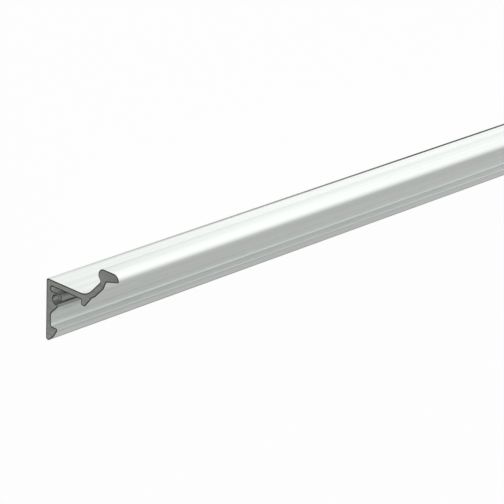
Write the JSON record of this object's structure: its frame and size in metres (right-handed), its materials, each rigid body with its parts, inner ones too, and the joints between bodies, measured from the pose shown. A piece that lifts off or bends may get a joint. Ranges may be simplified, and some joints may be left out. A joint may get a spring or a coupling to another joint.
{
  "type": "aluminium extrusion profile",
  "caption": "Straight length of extruded aluminium wall rail: flat back web, barbed foot, open screw port, shelf with a rib, and a slanted arm ending in a rounded hooked head.",
  "frame": {"origin": "on the floor below the middle of the box, at mid length of the flat back", "axes": "+X along the stock, +Y the section's up when the rail hangs on a wall, +Z the section's forward, away from the flat back it lies on"},
  "size_m": [1, 0.0448, 0.0456],
  "materials": {
    "aluminium": "mill finish, satin, with fine lengthwise die lines"
  },
  "bodies": {
    "root": {"profile": "aluminium"}
  },
  "joints": []
}
